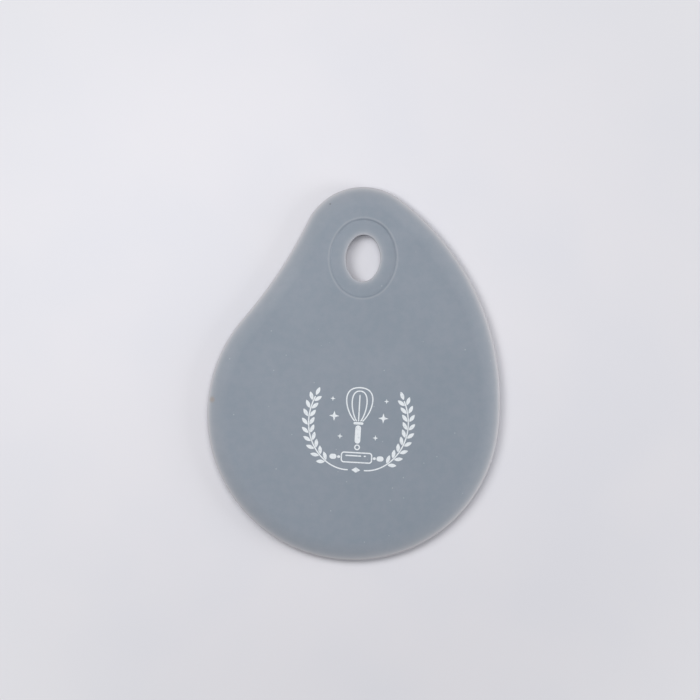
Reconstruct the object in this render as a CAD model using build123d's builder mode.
"""Bowl scraper: a pear-shaped silicone blade moulded over a stiff nylon plate.

Frame, in millimetres: the scraper lies on its back face. +Z runs through its thickness, +Y runs from
the wide blade to the hang hole, and the origin is under the middle of the outline's box.
"""

import os
from math import sqrt

from build123d import *

# Section: two flat faces that fall away in a crowned lip to a thin round rim.
face_thickness = 5.5
rim_thickness = 2.0
lip_width = 7.0  # from the rim to the edge of the flat face

# Hang hole, an oval of four tangent arcs, with a shallow collar sunk round it in both faces.
hole_width = 12.1
hole_length = 16.4
hole_end_radius = 4.9
hole_round = 0.4
collar_width = 5.15  # flat floor, from the hole to the foot of the slope
collar_slope = 0.6  # width of the slope up to the face
collar_depth = 0.45
collar_round = 0.7

# Outline: the blade's circle and the nose's circle, joined by two flanks that are tangent to both.
blade_radius = 51.2
nose_land = 2.7  # flat face beside the collar, before the lip
nose_radius = hole_width / 2 + collar_width + collar_slope + nose_land + lip_width
nose_reach = 58.3  # from the blade's centre to the nose's
full_flank_radius = 88.3  # right side, bulging
waist_flank_radius = 155.0  # left side, hollow
hole_drop = 3.5  # from the nose's centre towards the blade
hole_side = 0.3  # from the nose's centre towards the full flank

# Stiff plate inside, with hexagonal windows through which the two skins of silicone join.
plate_thickness = 1.8
plate_inset = 8.5  # from the rim, which leaves the lip soft
hole_wall = 2.4  # silicone between the hang hole and the plate
window_sides = 6
window_width = 5.0  # across the flats
window_margin = 6.0  # from the plate's edge to the outer ring of windows
window_ring_gap = 18.0  # from the outer ring to the inner one
outer_window_count = 12
inner_window_count = 6


def flank_centre(from_blade, from_nose):
    """Centre of a flank's arc, at these distances from the blade's and the nose's centre."""
    along = (from_blade**2 - from_nose**2 + nose_reach**2) / (2 * nose_reach)
    return Vector(-sqrt(from_blade**2 - along**2), along)


def pear(plane, inset=0.0):
    """Sketch of the outline, drawn in by inset all round. The plane's origin is the blade's centre."""
    blade = blade_radius - inset
    nose = nose_radius - inset
    full_flank = full_flank_radius - inset
    waist_flank = waist_flank_radius + inset
    nose_centre = Vector(0, nose_reach)
    full_centre = flank_centre(full_flank - blade, full_flank - nose)
    waist_centre = flank_centre(waist_flank + blade, waist_flank + nose)
    full_from_blade = full_centre - full_centre.normalized() * full_flank
    full_to_nose = full_centre + (nose_centre - full_centre).normalized() * full_flank
    waist_from_nose = waist_centre + (nose_centre - waist_centre).normalized() * waist_flank
    waist_to_blade = waist_centre - waist_centre.normalized() * waist_flank
    with BuildSketch(plane) as outline:
        with BuildLine():
            blade_arc = ThreePointArc(waist_to_blade, (0, -blade), full_from_blade)
            TangentArc(full_from_blade, full_to_nose, tangent=blade_arc % 1)
            nose_arc = ThreePointArc(full_to_nose, (0, nose_reach + nose), waist_from_nose)
            TangentArc(waist_from_nose, waist_to_blade, tangent=nose_arc % 1)
        make_face()
    return outline.sketch


def hole_oval(plane, margin=0.0):
    """Sketch of the hang hole's oval, grown by margin all round."""
    half_width = hole_width / 2
    half_length = hole_length / 2
    end_centre = Vector(0, half_length - hole_end_radius)
    side_sag = half_width - hole_end_radius
    side_radius = (end_centre.Y**2 + half_width**2 - hole_end_radius**2) / (2 * side_sag)
    side_centre = Vector(half_width - side_radius, 0)
    touch = end_centre + (end_centre - side_centre).normalized() * (hole_end_radius + margin)
    facing = Vector(touch.X, -touch.Y)
    side = Vector(half_width + margin, 0)
    end = Vector(0, half_length + margin)
    middle = Vector(hole_side, nose_reach - hole_drop)
    with BuildSketch(plane) as oval:
        with BuildLine():
            ThreePointArc(middle + facing, middle + side, middle + touch)
            ThreePointArc(middle + touch, middle + end, middle - facing)
            ThreePointArc(middle - facing, middle - side, middle - touch)
            ThreePointArc(middle - touch, middle - end, middle + facing)
        make_face()
    return oval.sketch


def lip_section(plane):
    """Section of the lip. The plane's origin is the outermost point of the rim, and X runs inwards."""
    half_face = face_thickness / 2
    half_rim = rim_thickness / 2
    lip_crown = ((lip_width - half_rim) ** 2 + half_face**2 - half_rim**2) / (2 * (half_face - half_rim))
    rim_centre = Vector(half_rim, 0)
    crown_centre = Vector(lip_width, half_face - lip_crown)
    touch = rim_centre + (rim_centre - crown_centre).normalized() * half_rim
    with BuildSketch(plane) as section:
        with BuildLine():
            crown_arc = RadiusArc((lip_width, half_face), (touch.X, touch.Y), -lip_crown)
            ThreePointArc((touch.X, touch.Y), (0, 0), (touch.X, -touch.Y))
            mirror(crown_arc, about=Plane.XZ)
            Line((lip_width, -half_face), (lip_width, half_face))
        make_face()
    return section.sketch


outline_middle = pear(Plane.XY).bounding_box().center()
back_face = Plane(origin=(-outline_middle.X, -outline_middle.Y, 0))
front_face = back_face.offset(face_thickness)
plate_face = back_face.offset((face_thickness - plate_thickness) / 2)

with BuildPart() as core_plate:
    extrude(pear(plate_face, plate_inset), amount=plate_thickness)
    extrude(hole_oval(plate_face, hole_wall), amount=plate_thickness, mode=Mode.SUBTRACT)
    outer_ring = blade_radius - plate_inset - window_margin
    inner_ring = outer_ring - window_ring_gap
    # The outer ring is turned by half a step, so that no window lies under the hang hole.
    with BuildSketch(plate_face):
        with Locations((0, 0)):
            RegularPolygon(window_width / 2, window_sides, major_radius=False)
        with PolarLocations(inner_ring, inner_window_count):
            RegularPolygon(window_width / 2, window_sides, major_radius=False)
        with PolarLocations(outer_ring, outer_window_count, start_angle=180 / outer_window_count):
            RegularPolygon(window_width / 2, window_sides, major_radius=False)
    extrude(amount=plate_thickness, mode=Mode.SUBTRACT)

rim_path = pear(back_face.offset(face_thickness / 2)).wire()
rim_heading = rim_path % 0
rim_start = Plane(rim_path @ 0, x_dir=Vector(0, 0, 1).cross(rim_heading), z_dir=rim_heading)

with BuildPart() as silicone_body:
    # The flat middle, and the lip that runs all round it.
    extrude(pear(back_face, lip_width), amount=face_thickness)
    sweep(lip_section(rim_start), path=rim_path)
    # A collar in each face: the slope goes down from the face to the collar's floor.
    for face, floor in ((front_face, -collar_depth), (back_face, collar_depth)):
        collar_top = hole_oval(face, collar_width + collar_slope)
        collar_floor = hole_oval(face.offset(floor), collar_width)
        loft([collar_top, collar_floor], ruled=True, mode=Mode.SUBTRACT)
        collar_rim = silicone_body.edges(Select.LAST).filter_by(lambda edge: face.contains(edge.center()))
        fillet(collar_rim, radius=collar_round)
    # The hang hole, with its two soft edges.
    extrude(hole_oval(back_face), amount=face_thickness, mode=Mode.SUBTRACT)
    fillet(silicone_body.edges(Select.LAST).filter_by(GeomType.CIRCLE), radius=hole_round)
    # The plate's seat: the silicone closes round the plate and fills its windows.
    add(core_plate.part, mode=Mode.SUBTRACT)

core_plate.part.label = "core_plate"
silicone_body.part.label = "silicone_body"
os.makedirs("parts", exist_ok=True)
export_step(core_plate.part, "parts/core_plate.step")
export_step(silicone_body.part, "parts/silicone_body.step")
